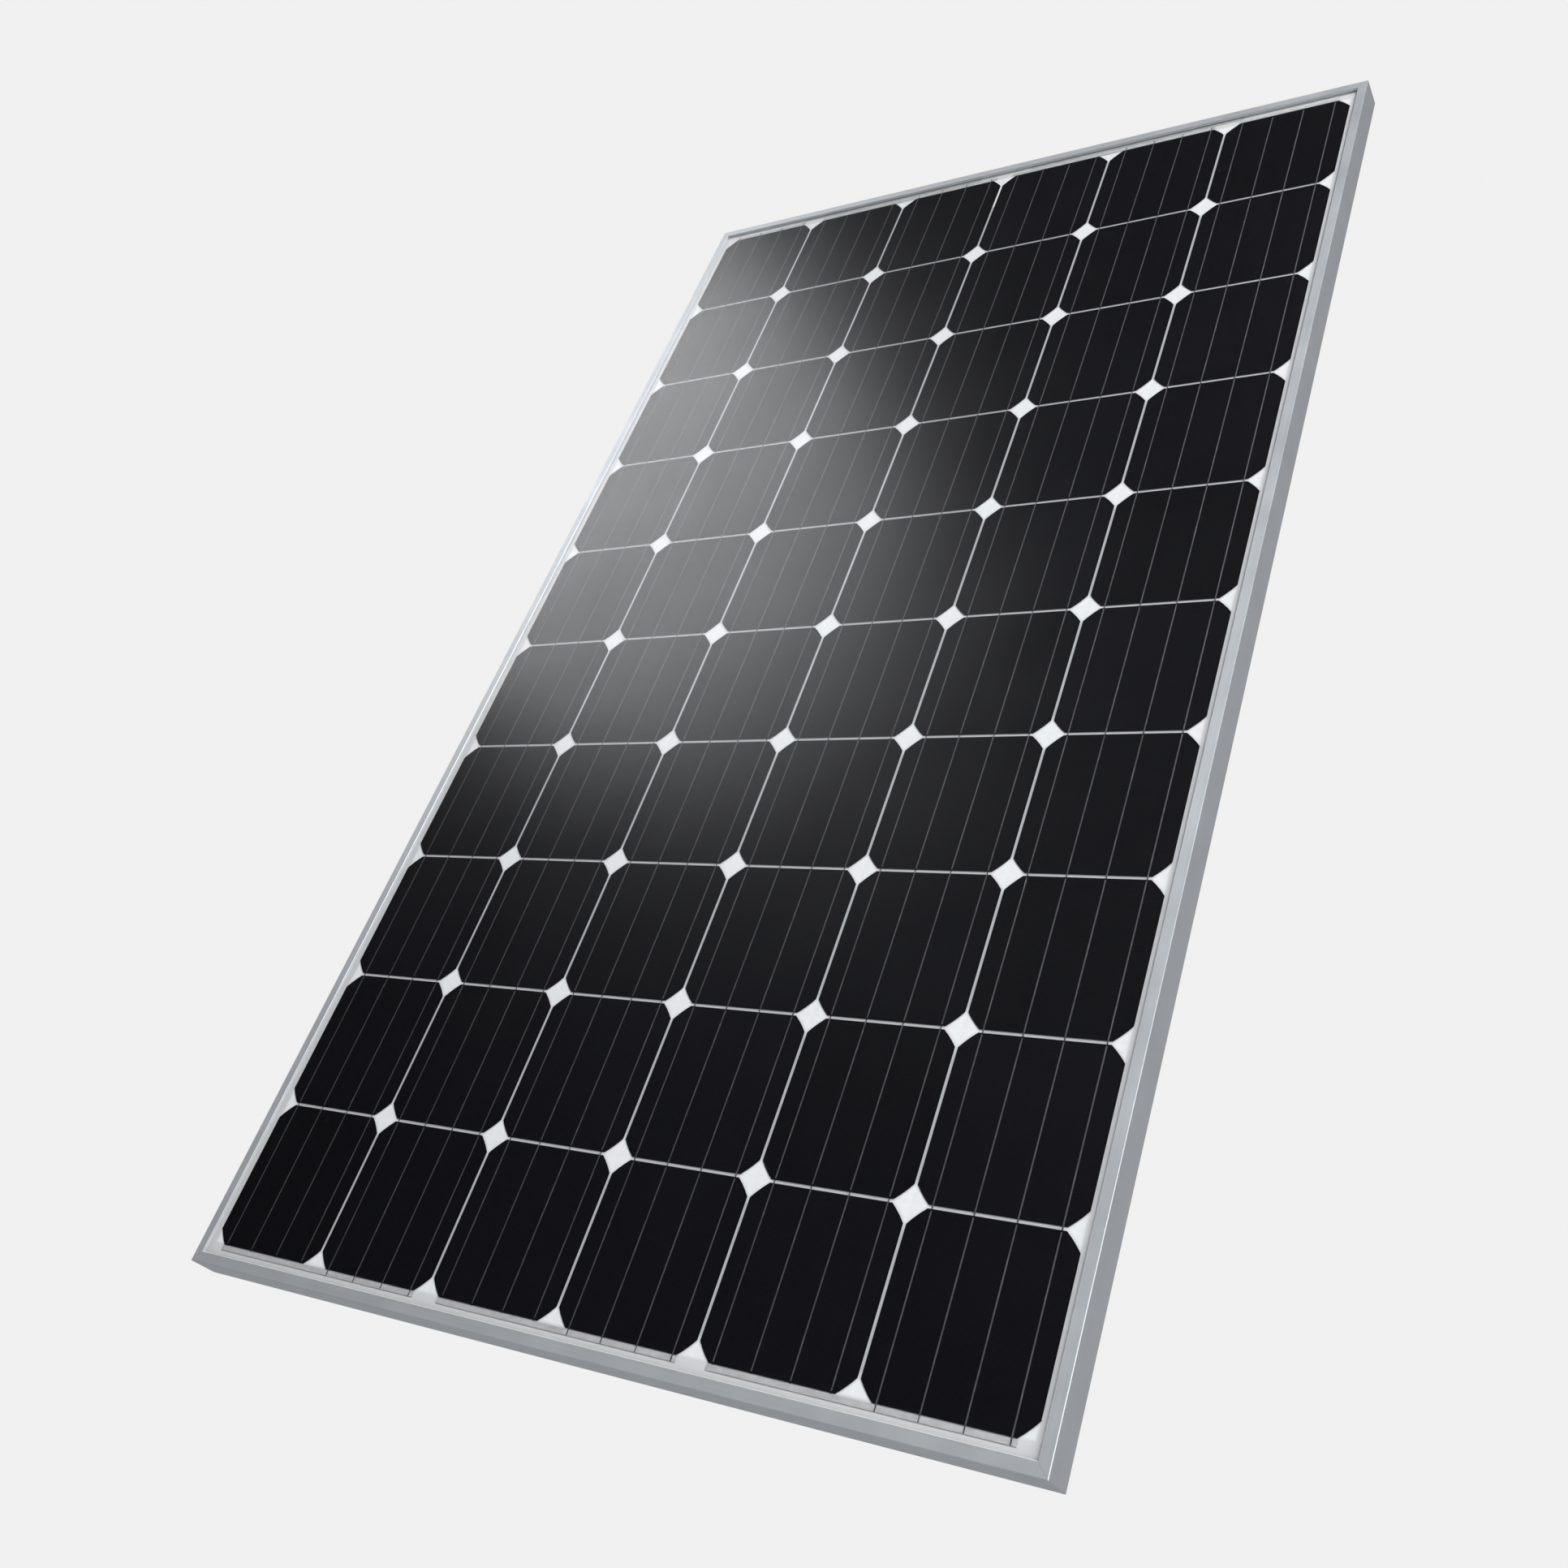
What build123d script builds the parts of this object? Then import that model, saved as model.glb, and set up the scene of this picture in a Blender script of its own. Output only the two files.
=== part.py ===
from build123d import *
import os

# Framed photovoltaic panel: 60 pseudo-square cells, six strings of ten, behind glass in an
# aluminium frame, with a junction box on the back.
#
# Frame of the model, in millimetres: the panel stands upright with its long side along Z and
# its width along X. The glass looks along -Y and the junction box is on the +Y side. The
# origin is the centre of the frame's box. "Depth" is the distance behind the frame's front face.

# --- panel and frame ---------------------------------------------------------------------
PANEL_W = 986.0
PANEL_H = 1634.0
PANEL_D = 35.0

RAIL_WALL = 1.6
LIP_W = 11.0
LIP_T = 1.6
GROOVE_D = 6.5
FLANGE_W = 28.0
MITRE_GAP = 0.05
LIP_BEVEL = 0.6
LIP_INNER_BEVEL = 0.4

SHELF_DEPTH = LIP_T + GROOVE_D
CHAMBER_FRONT = SHELF_DEPTH + RAIL_WALL
CHAMBER_BACK = PANEL_D - RAIL_WALL
CHAMBER_W = LIP_W - 2 * RAIL_WALL

SLOT_LENGTH = 14.0
SLOT_WIDTH = 9.0
SLOT_INSET = 19.5
SLOT_SPACINGS = (800.0, 1200.0)
EARTH_HOLE_R = 2.1
EARTH_SPACING = 960.0
DRAIN_LENGTH = 12.0
DRAIN_WIDTH = 5.0
DRAIN_FROM_END = 52.0

KEY_ARM = 42.0
KEY_CLEARANCE = 0.15

# --- laminate: layer depths behind the frame's front face ---------------------------------
GLASS_INSET = 2.8
GLASS_FRONT = LIP_T + 0.5
GLASS_T = 3.2
FRONT_EVA_T = 0.4
RIBBON_T = 0.2
CELL_T = 0.2
REAR_EVA_T = 0.6
BACKSHEET_T = 0.3
SEAL_RECESS = 0.6

GLASS_BACK = GLASS_FRONT + GLASS_T
FRONT_RIBBON = GLASS_BACK + FRONT_EVA_T
CELL_FRONT = FRONT_RIBBON + RIBBON_T
CELL_BACK = CELL_FRONT + CELL_T
REAR_EVA = CELL_BACK + RIBBON_T
BACKSHEET = REAR_EVA + REAR_EVA_T
LAMINATE_BACK = BACKSHEET + BACKSHEET_T

GLASS_W = PANEL_W - 2 * GLASS_INSET
GLASS_H = PANEL_H - 2 * GLASS_INSET

# --- cells, tabbing ribbons and bus ribbons ------------------------------------------------
CELL = 156.0
WAFER_R = 100.0
CELL_PITCH = 159.0
STRINGS = 6
CELLS_PER_STRING = 10
BUSBARS = 4
RIBBON_W = 1.3
RIBBON_END_GAP = 1.5

STRING_X = [(i - (STRINGS - 1) / 2) * CELL_PITCH for i in range(STRINGS)]
CELL_Z = [(j - (CELLS_PER_STRING - 1) / 2) * CELL_PITCH for j in range(CELLS_PER_STRING)]
BUSBAR_X = [(b - (BUSBARS - 1) / 2) * CELL / BUSBARS for b in range(BUSBARS)]
GRID_TOP = CELL_Z[-1] + CELL / 2

BUS_W = 5.0
BUS_GAP = 0.8
BUS_OVERHANG = 5.0
BUS_ROW_A = GRID_TOP + BUS_GAP
BUS_ROW_B = BUS_ROW_A + BUS_W + 1.8
BUS_END = BUSBAR_X[-1] + BUS_OVERHANG

# Tails of the four top bus ribbons run down behind the cells and out through the backsheet.
TERMINAL_X = (-42.0, -14.0, 14.0, 42.0)
TAIL_DEPTH = REAR_EVA + 0.2
TAIL_BEND_Z = 738.0
TAIL_END_Z = 722.0
SLIT_W = 96.0
SLIT_H = 3.0
TAIL_WINDOW_W = 100.0
TAIL_WINDOW_LOW = 732.0
TAIL_WINDOW_HIGH = BUS_ROW_B + 2.0
INSULATION_T = 0.15
INSULATION_HIGH = BUS_ROW_A - 0.4

# --- junction box ------------------------------------------------------------------------
BOX_W = 124.0
BOX_H = 94.0
BOX_Z = 705.0
BOX_CORNER_R = 7.0
BOX_WALL = 2.2
BOX_FLOOR = 2.0
ADHESIVE_T = 1.0
BOX_BACK = LAMINATE_BACK + ADHESIVE_T
BOX_RIM = 27.2
BOX_FOOT = 5.0
BOX_FOOT_T = 1.5
BOX_TOP = BOX_Z + BOX_H / 2
BOX_BOTTOM = BOX_Z - BOX_H / 2
FLOOR_WINDOW_H = 8.0

LID_GAP = 0.3
LID_T = 2.2
LID_SIDE_GAP = 0.4
LID_SKIRT_T = 1.8
LID_SKIRT_D = 5.0
LID_FRONT = BOX_RIM + LID_GAP
LID_BACK = LID_FRONT + LID_T
LID_HALF_W = BOX_W / 2 + LID_SIDE_GAP + LID_SKIRT_T
LID_LOW = BOX_BOTTOM - LID_SIDE_GAP - LID_SKIRT_T
LID_HIGH = BOX_TOP + LID_SIDE_GAP
GASKET_W = 2.0
GASKET_T = 1.2
GASKET_OUTER_W = BOX_W - 0.2
GASKET_OUTER_H = BOX_H - 0.2
NOTCH_W = 17.2
TAB_W = 26.0
TAB_H = 5.0
TAB_T = 0.9

HINGE_Z = BOX_TOP + 3.9
HINGE_Y = LID_BACK - PANEL_D / 2 - 3.2
HINGE_X = 38.0
HINGE_BARREL_R = 3.2
HINGE_PIN_R = 1.5
HINGE_CLEARANCE = 0.06
KNUCKLE_W = 9.0
LUG_T = 3.0
LUG_GAP = 0.5

# --- terminals, diodes and clips -----------------------------------------------------------
TERMINAL_DEPTH = 13.5
TERMINAL_T = 1.0
TERMINAL_W = 18.0
TERMINAL_TOP = 734.0
TERMINAL_LOW_OUTER = 668.0
TERMINAL_LOW_INNER = 688.0
RIB_Z = (694.0, 716.0)
RIB_W = 3.0
STUD_Z = 694.0
STUD_R = 1.5
DIODE_Z = 704.0
DIODE_R = 4.0
DIODE_L = 9.0
DIODE_LEAD_R = 0.65
DIODE_LEAD_L = 24.0
CLIP_W = 9.0
CLIP_H = 8.0
CLIP_Z = 726.0
CLIP_T = 1.6
BARREL_R = 3.5
BARREL_BORE_R = 2.6
BARREL_L = 12.0

# --- cable glands: M16 body, for a 6 mm cable ----------------------------------------------
GLAND_X = (-42.0, 42.0)
GLAND_SIDES = ("left", "right")
GLAND_Y = 0.5
STUB_R = 7.9
STUB_LOW = 640.0
STUB_BORE_R = 5.2
STUB_BORE_TOP = 652.0
CABLE_PASS_R = 3.4
SEAL_R = 5.1
SEAL_BORE_R = 3.05
SEAL_TOP = 651.0
SEAL_FLANGE_R = 7.0
SEAL_LOW = 638.5
RING_R = 7.4
RING_BORE_R = 3.5
RING_HIGH = SEAL_LOW - 0.3
RING_T = 1.9
NUT_R = 9.6
NUT_BORE_R = 8.0
NUT_MOUTH_R = 4.0
NUT_HIGH = 653.0
NUT_SHOULDER = RING_HIGH - RING_T - 0.3
NUT_END_T = 3.0
NUT_FLUTES = 12
NUT_FLUTE_R = 1.0

VENT_R = 2.9
VENT_HEAD_R = 4.5
VENT_HEAD_T = 1.4

LABEL_W = 150.0
LABEL_H = 90.0
LABEL_X = 190.0
LABEL_Z = 640.0
LABEL_T = 0.2

os.makedirs("parts", exist_ok=True)


def finish(builder, label):
    """Name a finished sub-part and write it to its own file."""
    builder.part.label = label
    export_step(builder.part, f"parts/{label}.step")


def at_depth(depth):
    """Plane parallel to the glass: local x is X, local y is Z, and extruding goes forward."""
    return Plane.XZ.offset(PANEL_D / 2 - depth)


def y_at(depth):
    """Y coordinate of a depth behind the frame's front face."""
    return depth - PANEL_D / 2


def sheet(front, thickness, width, height, x=0.0, z=0.0):
    """Add a flat rectangle of material to the part being built."""
    with BuildSketch(at_depth(front + thickness)) as outline:
        with Locations((x, z)):
            Rectangle(width, height)
    extrude(outline.sketch, amount=thickness)


def cut_sheet(front, thickness, width, height, x=0.0, z=0.0):
    """Cut a rectangular window in the part being built."""
    with BuildSketch(at_depth(front + thickness)) as outline:
        with Locations((x, z)):
            Rectangle(width, height)
    extrude(outline.sketch, amount=thickness, mode=Mode.SUBTRACT)


def span(front, thickness, x0, x1, z0, z1):
    """Add a flat rectangle between two corners."""
    sheet(front, thickness, x1 - x0, z1 - z0, (x0 + x1) / 2, (z0 + z1) / 2)


# --- frame rails -------------------------------------------------------------------------
def rail_section():
    """Rail outline: x runs inward from the outer face, y runs back from the front face."""
    with BuildLine() as outline:
        Polyline(
            (0, LIP_BEVEL),
            (LIP_BEVEL, 0),
            (LIP_W - LIP_INNER_BEVEL, 0),
            (LIP_W, LIP_INNER_BEVEL),
            (LIP_W, LIP_T),
            (RAIL_WALL, LIP_T),
            (RAIL_WALL, SHELF_DEPTH),
            (LIP_W, SHELF_DEPTH),
            (LIP_W, CHAMBER_BACK),
            (FLANGE_W, CHAMBER_BACK),
            (FLANGE_W, PANEL_D),
            (LIP_BEVEL, PANEL_D),
            (0, PANEL_D - LIP_BEVEL),
            close=True,
        )
    make_face(outline.line)
    with Locations((RAIL_WALL + CHAMBER_W / 2, (CHAMBER_FRONT + CHAMBER_BACK) / 2)):
        Rectangle(CHAMBER_W, CHAMBER_BACK - CHAMBER_FRONT, mode=Mode.SUBTRACT)


def rail(label, corner, inward, along, length, slots=(), holes=(), drains=(), drain_turn=0):
    """One mitred rail. Slots, holes and drains are (x, z) points on the rear flange."""
    start = Vector(*corner)
    inward = Vector(*inward)
    along = Vector(*along)
    with BuildPart() as piece:
        with BuildSketch(Plane(origin=start, x_dir=inward, z_dir=along)):
            rail_section()
        extrude(amount=length)
        split(bisect_by=Plane(start, z_dir=along - inward).offset(MITRE_GAP), keep=Keep.TOP)
        end = start + along * length
        split(bisect_by=Plane(end, z_dir=-along - inward).offset(MITRE_GAP), keep=Keep.TOP)
        if slots:
            with BuildSketch(at_depth(PANEL_D)):
                with Locations(*slots):
                    SlotOverall(SLOT_LENGTH, SLOT_WIDTH, rotation=90)
            extrude(amount=RAIL_WALL, mode=Mode.SUBTRACT)
        if holes:
            with BuildSketch(at_depth(PANEL_D)):
                with Locations(*holes):
                    Circle(EARTH_HOLE_R)
            extrude(amount=RAIL_WALL, mode=Mode.SUBTRACT)
        if drains:
            with BuildSketch(at_depth(PANEL_D)):
                with Locations(*drains):
                    SlotOverall(DRAIN_LENGTH, DRAIN_WIDTH, rotation=drain_turn)
            extrude(amount=RAIL_WALL, mode=Mode.SUBTRACT)
    finish(piece, label)


HALF_W = PANEL_W / 2
HALF_H = PANEL_H / 2
SLOT_X = HALF_W - SLOT_INSET
FRONT_Y = -PANEL_D / 2
SLOT_ZS = [sign * spacing / 2 for spacing in SLOT_SPACINGS for sign in (-1, 1)]
EARTH_ZS = [-EARTH_SPACING / 2, EARTH_SPACING / 2]
DRAIN_X = HALF_W - DRAIN_FROM_END
DRAIN_Z = HALF_H - SLOT_INSET

rail(
    "frame_rail_left",
    corner=(-HALF_W, FRONT_Y, -HALF_H),
    inward=(1, 0, 0),
    along=(0, 0, 1),
    length=PANEL_H,
    slots=[(-SLOT_X, z) for z in SLOT_ZS],
    holes=[(-SLOT_X, z) for z in EARTH_ZS],
)
rail(
    "frame_rail_right",
    corner=(HALF_W, FRONT_Y, HALF_H),
    inward=(-1, 0, 0),
    along=(0, 0, -1),
    length=PANEL_H,
    slots=[(SLOT_X, z) for z in SLOT_ZS],
    holes=[(SLOT_X, z) for z in EARTH_ZS],
)
rail(
    "frame_rail_top",
    corner=(-HALF_W, FRONT_Y, HALF_H),
    inward=(0, 0, -1),
    along=(1, 0, 0),
    length=PANEL_W,
    drains=[(-DRAIN_X, DRAIN_Z), (DRAIN_X, DRAIN_Z)],
)
rail(
    "frame_rail_bottom",
    corner=(HALF_W, FRONT_Y, -HALF_H),
    inward=(0, 0, 1),
    along=(-1, 0, 0),
    length=PANEL_W,
    drains=[(-DRAIN_X, -DRAIN_Z), (DRAIN_X, -DRAIN_Z)],
)

# --- corner keys: L-shaped blocks pressed into the rails' closed chambers -------------------
KEY_T = CHAMBER_W - 2 * KEY_CLEARANCE
KEY_D = CHAMBER_BACK - CHAMBER_FRONT - 2 * KEY_CLEARANCE
KEY_OUTER = RAIL_WALL + KEY_CLEARANCE


def corner_key(label, side, end):
    """Corner key. side is -1 for left and 1 for right, end is -1 for bottom and 1 for top."""
    outer_x = side * (HALF_W - KEY_OUTER)
    outer_z = end * (HALF_H - KEY_OUTER)
    front = CHAMBER_FRONT + KEY_CLEARANCE
    with BuildPart() as piece:
        sheet(front, KEY_D, KEY_ARM, KEY_T, outer_x - side * KEY_ARM / 2, outer_z - end * KEY_T / 2)
        sheet(front, KEY_D, KEY_T, KEY_ARM, outer_x - side * KEY_T / 2, outer_z - end * KEY_ARM / 2)
        for step in range(3):
            notch = KEY_ARM - 8 - 8 * step
            for depth in (front, front + KEY_D - 1):
                cut_sheet(depth, 1, 2, KEY_T, outer_x - side * notch, outer_z - end * KEY_T / 2)
                cut_sheet(depth, 1, KEY_T, 2, outer_x - side * KEY_T / 2, outer_z - end * notch)
    finish(piece, label)


for end_name, end_sign in (("top", 1), ("bottom", -1)):
    for side_name, side_sign in (("left", -1), ("right", 1)):
        corner_key(f"corner_key_{end_name}_{side_name}", side_sign, end_sign)

# --- edge sealant: a U-shaped ring that beds the laminate in the frame's groove -------------
with BuildPart() as frame_sealant:
    sheet(LIP_T, GROOVE_D, PANEL_W - 2 * RAIL_WALL, PANEL_H - 2 * RAIL_WALL)
    window_w = PANEL_W - 2 * (LIP_W - SEAL_RECESS)
    window_h = PANEL_H - 2 * (LIP_W - SEAL_RECESS)
    cut_sheet(LIP_T, GROOVE_D, window_w, window_h)
    cut_sheet(GLASS_FRONT, LAMINATE_BACK - GLASS_FRONT, GLASS_W, GLASS_H)
finish(frame_sealant, "frame_sealant")

# --- laminate sheets -----------------------------------------------------------------------
with BuildPart() as front_glass:
    sheet(GLASS_FRONT, GLASS_T, GLASS_W, GLASS_H)
    chamfer(front_glass.edges().filter_by(Axis.Y), length=1.5)
finish(front_glass, "front_glass")

with BuildPart() as front_encapsulant:
    sheet(GLASS_BACK, FRONT_EVA_T, GLASS_W - 2, GLASS_H - 2)
finish(front_encapsulant, "front_encapsulant")

with BuildPart() as rear_encapsulant:
    sheet(REAR_EVA, REAR_EVA_T, GLASS_W - 2, GLASS_H - 2)
    window_height = TAIL_WINDOW_HIGH - TAIL_WINDOW_LOW
    window_z = (TAIL_WINDOW_HIGH + TAIL_WINDOW_LOW) / 2
    cut_sheet(REAR_EVA, REAR_EVA_T, TAIL_WINDOW_W, window_height, z=window_z)
finish(rear_encapsulant, "rear_encapsulant")

with BuildPart() as backsheet:
    sheet(BACKSHEET, BACKSHEET_T, GLASS_W, GLASS_H)
    cut_sheet(BACKSHEET, BACKSHEET_T, SLIT_W, SLIT_H, z=TAIL_BEND_Z)
finish(backsheet, "backsheet")

# --- cell strings ---------------------------------------------------------------------------
for string, string_x in enumerate(STRING_X, start=1):
    with BuildPart() as cell_string:
        with BuildSketch(at_depth(CELL_BACK)):
            for cell_z in CELL_Z:
                with BuildSketch(Plane.XY, mode=Mode.PRIVATE) as wafer:
                    Rectangle(CELL, CELL)
                    Circle(WAFER_R, mode=Mode.INTERSECT)
                with Locations((string_x, cell_z)):
                    add(wafer.sketch)
        extrude(amount=CELL_T)
    finish(cell_string, f"cell_string_{string}")

# --- tabbing ribbons: each runs over one cell, steps through the gap and under the next ------
FRONT_Y0 = y_at(FRONT_RIBBON)
FRONT_Y1 = y_at(CELL_FRONT)
REAR_Y0 = y_at(CELL_BACK)
REAR_Y1 = y_at(REAR_EVA)
RUN = CELL - RIBBON_END_GAP


def ribbon_outline(points):
    """Add a closed polygon to the sketch being drawn."""
    with BuildLine() as outline:
        Polyline(*points, close=True)
    make_face(outline.line)


for string, string_x in enumerate(STRING_X, start=1):
    up = 1 if string % 2 else -1
    with BuildPart() as ribbons:
        for busbar_x in BUSBAR_X:
            with BuildSketch(Plane.YZ.offset(string_x + busbar_x - RIBBON_W / 2)):
                for cell_z in CELL_Z[:-1]:
                    gap_z = up * (cell_z + CELL_PITCH / 2)
                    near = gap_z - (CELL_PITCH - CELL) / 2
                    far = gap_z + (CELL_PITCH - CELL) / 2
                    ribbon_outline([
                        (FRONT_Y0, up * (near - RUN)),
                        (FRONT_Y0, up * near),
                        (REAR_Y0, up * far),
                        (REAR_Y0, up * (far + RUN)),
                        (REAR_Y1, up * (far + RUN)),
                        (REAR_Y1, up * far),
                        (FRONT_Y1, up * near),
                        (FRONT_Y1, up * (near - RUN)),
                    ])
                last_start = GRID_TOP - RUN
                bus_edge = BUS_ROW_A + BUS_W
                ribbon_outline([
                    (FRONT_Y0, up * last_start),
                    (FRONT_Y0, up * bus_edge),
                    (FRONT_Y1, up * bus_edge),
                    (FRONT_Y1, up * last_start),
                ])
                ribbon_outline([
                    (REAR_Y0, -up * last_start),
                    (REAR_Y0, -up * bus_edge),
                    (REAR_Y1, -up * bus_edge),
                    (REAR_Y1, -up * last_start),
                ])
            extrude(amount=RIBBON_W)
    finish(ribbons, f"tabbing_ribbons_{string}")

# --- bus ribbons at the bottom edge: strings 1-2, 3-4 and 5-6 --------------------------------
for first in (1, 3, 5):
    with BuildPart() as bus_link:
        x0 = STRING_X[first - 1] - BUS_END
        x1 = STRING_X[first] + BUS_END
        span(CELL_FRONT, CELL_T, x0, x1, -BUS_ROW_A - BUS_W, -BUS_ROW_A)
    finish(bus_link, f"bus_ribbon_{first}_{first + 1}")


# --- bus ribbons at the top edge, each with a tail that ends on its terminal -----------------
def tail(x, row_z):
    """Tail of a top bus ribbon: back from the row, down behind the cells, out to the terminal."""
    x0 = x - BUS_W / 2
    x1 = x + BUS_W / 2
    plate = TERMINAL_DEPTH + TERMINAL_T
    span(CELL_BACK, TAIL_DEPTH + RIBBON_T - CELL_BACK, x0, x1, row_z, row_z + RIBBON_T)
    span(TAIL_DEPTH, RIBBON_T, x0, x1, TAIL_BEND_Z, row_z + RIBBON_T)
    span(TAIL_DEPTH, plate + RIBBON_T - TAIL_DEPTH, x0, x1, TAIL_BEND_Z, TAIL_BEND_Z + RIBBON_T)
    span(plate, RIBBON_T, x0, x1, TAIL_END_Z, TAIL_BEND_Z)


for first, tail_x in ((2, TERMINAL_X[1]), (4, TERMINAL_X[2])):
    with BuildPart() as top_link:
        outer_x = STRING_X[first - 1] - BUS_END
        inner_x = STRING_X[first] + BUS_END
        x0 = min(outer_x, tail_x - BUS_W / 2)
        x1 = max(inner_x, tail_x + BUS_W / 2)
        span(CELL_FRONT, CELL_T, x0, x1, BUS_ROW_A, BUS_ROW_A + BUS_W)
        tail(tail_x, BUS_ROW_A)
    finish(top_link, f"bus_ribbon_{first}_{first + 1}")

for label, string_x, tail_x in (
    ("bus_lead_1", STRING_X[0], TERMINAL_X[0]),
    ("bus_lead_6", STRING_X[5], TERMINAL_X[3]),
):
    inward = 1 if tail_x > string_x else -1
    with BuildPart() as lead:
        string_end = string_x + inward * BUS_END
        row_end = tail_x + inward * BUS_W / 2
        span(CELL_FRONT, CELL_T, string_x - BUS_END, string_x + BUS_END, BUS_ROW_A, BUS_ROW_A + BUS_W)
        riser = sorted((string_end - inward * BUS_W, string_end))
        span(CELL_FRONT, CELL_T, riser[0], riser[1], BUS_ROW_A, BUS_ROW_B + BUS_W)
        row = sorted((string_end - inward * BUS_W, row_end))
        span(CELL_FRONT, CELL_T, row[0], row[1], BUS_ROW_B, BUS_ROW_B + BUS_W)
        tail(tail_x, BUS_ROW_B)
    finish(lead, label)

with BuildPart() as insulation_strip:
    strip_z = (INSULATION_HIGH + TAIL_WINDOW_LOW) / 2
    strip_h = INSULATION_HIGH - TAIL_WINDOW_LOW - 1
    sheet(REAR_EVA, INSULATION_T, TAIL_WINDOW_W - 2, strip_h, z=strip_z)
finish(insulation_strip, "insulation_strip")

# --- blank rating label on the backsheet ------------------------------------------------------
with BuildPart() as rating_label:
    with BuildSketch(at_depth(LAMINATE_BACK + LABEL_T)):
        with Locations((LABEL_X, LABEL_Z)):
            RectangleRounded(LABEL_W, LABEL_H, 4)
    extrude(amount=LABEL_T)
finish(rating_label, "rating_label")

# --- junction box base -------------------------------------------------------------------------
with BuildPart() as box_adhesive:
    with BuildSketch(at_depth(BOX_BACK)):
        with Locations((0, BOX_Z)):
            RectangleRounded(BOX_W + 2 * BOX_FOOT - 1, BOX_H + 2 * BOX_FOOT - 1, BOX_CORNER_R + BOX_FOOT)
            RectangleRounded(BOX_W - 8, BOX_H - 8, BOX_CORNER_R, mode=Mode.SUBTRACT)
    extrude(amount=ADHESIVE_T)
finish(box_adhesive, "box_adhesive")


def box_outline(depth, grow):
    """Rounded outline of the junction box, grown or shrunk all round."""
    with BuildSketch(at_depth(depth)) as outline:
        with Locations((0, BOX_Z)):
            RectangleRounded(BOX_W + 2 * grow, BOX_H + 2 * grow, BOX_CORNER_R + grow)
    return outline.sketch


def hinge_side(width, low_y, low_z):
    """Side view of a hinge ear: a round end on the hinge axis and a web to the box or lid."""
    Circle(HINGE_BARREL_R)
    with Locations((low_y, low_z)):
        Rectangle(width, -low_z, align=(Align.MIN, Align.MIN))


def hinge_plane(x):
    """Plane across the hinge axis at one x, with its origin on the axis: local x is Y."""
    return Plane(origin=(x, HINGE_Y, HINGE_Z), x_dir=(0, 1, 0), z_dir=(1, 0, 0))


with BuildPart() as junction_box_base:
    extrude(box_outline(BOX_BACK + BOX_FOOT_T, BOX_FOOT), amount=BOX_FOOT_T)
    extrude(box_outline(BOX_RIM, 0), amount=BOX_RIM - BOX_BACK)
    box_depth = BOX_RIM - BOX_BACK - BOX_FLOOR
    extrude(box_outline(BOX_RIM, -BOX_WALL), amount=box_depth, mode=Mode.SUBTRACT)
    # Window in the floor for the bus ribbons' tails.
    cut_sheet(BOX_BACK, BOX_FLOOR, SLIT_W + 4, FLOOR_WINDOW_H, z=TAIL_BEND_Z)
    # Ribs and studs that carry the terminal plates.
    floor = BOX_BACK + BOX_FLOOR
    for rib_z in RIB_Z:
        sheet(floor, TERMINAL_DEPTH - floor, BOX_W - 2 * BOX_WALL, RIB_W, z=rib_z)
    with BuildSketch(at_depth(TERMINAL_DEPTH + TERMINAL_T + 1)):
        with Locations(*[(x, STUD_Z) for x in TERMINAL_X]):
            Circle(STUD_R)
    extrude(amount=TERMINAL_T + 1)
    # Hinge ears on the top wall, in two pairs, bored for the pins.
    for side in (-1, 1):
        for ear in (-1, 1):
            ear_x = side * HINGE_X + ear * (KNUCKLE_W / 2 + LUG_GAP + LUG_T / 2)
            with BuildSketch(hinge_plane(ear_x - LUG_T / 2)):
                hinge_side(HINGE_BARREL_R + 4.5, -4.5 - HINGE_BARREL_R, BOX_TOP - HINGE_Z - 1)
                Circle(HINGE_PIN_R, mode=Mode.SUBTRACT)
            extrude(amount=LUG_T)
    # Gland stubs on the bottom wall.
    with BuildSketch(Plane.XY.offset(STUB_LOW)):
        with Locations(*[(x, GLAND_Y) for x in GLAND_X]):
            Circle(STUB_R)
    extrude(amount=BOX_BOTTOM + 1 - STUB_LOW)
    with BuildSketch(Plane.XY.offset(STUB_LOW)):
        with Locations(*[(x, GLAND_Y) for x in GLAND_X]):
            Circle(STUB_BORE_R)
    extrude(amount=STUB_BORE_TOP - STUB_LOW, mode=Mode.SUBTRACT)
    with BuildSketch(Plane.XY.offset(STUB_LOW)):
        with Locations(*[(x, GLAND_Y) for x in GLAND_X]):
            Circle(CABLE_PASS_R)
    extrude(amount=BOX_BOTTOM + BOX_WALL + 1 - STUB_LOW, mode=Mode.SUBTRACT)
    # Hole for the vent plug, between the glands.
    with BuildSketch(Plane.XY.offset(BOX_BOTTOM)):
        with Locations((0, GLAND_Y)):
            Circle(VENT_R)
    extrude(amount=BOX_WALL, mode=Mode.SUBTRACT)
finish(junction_box_base, "junction_box_base")



# --- lid, gasket and hinge pins ------------------------------------------------------------------
def gasket_outline():
    """Rounded ring that lies over the rim of the junction box."""
    with BuildSketch(at_depth(LID_FRONT + GASKET_T)) as outline:
        with Locations((0, BOX_Z)):
            RectangleRounded(GASKET_OUTER_W, GASKET_OUTER_H, BOX_CORNER_R)
            RectangleRounded(
                GASKET_OUTER_W - 2 * GASKET_W,
                GASKET_OUTER_H - 2 * GASKET_W,
                BOX_CORNER_R - GASKET_W,
                mode=Mode.SUBTRACT,
            )
    return outline.sketch


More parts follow.
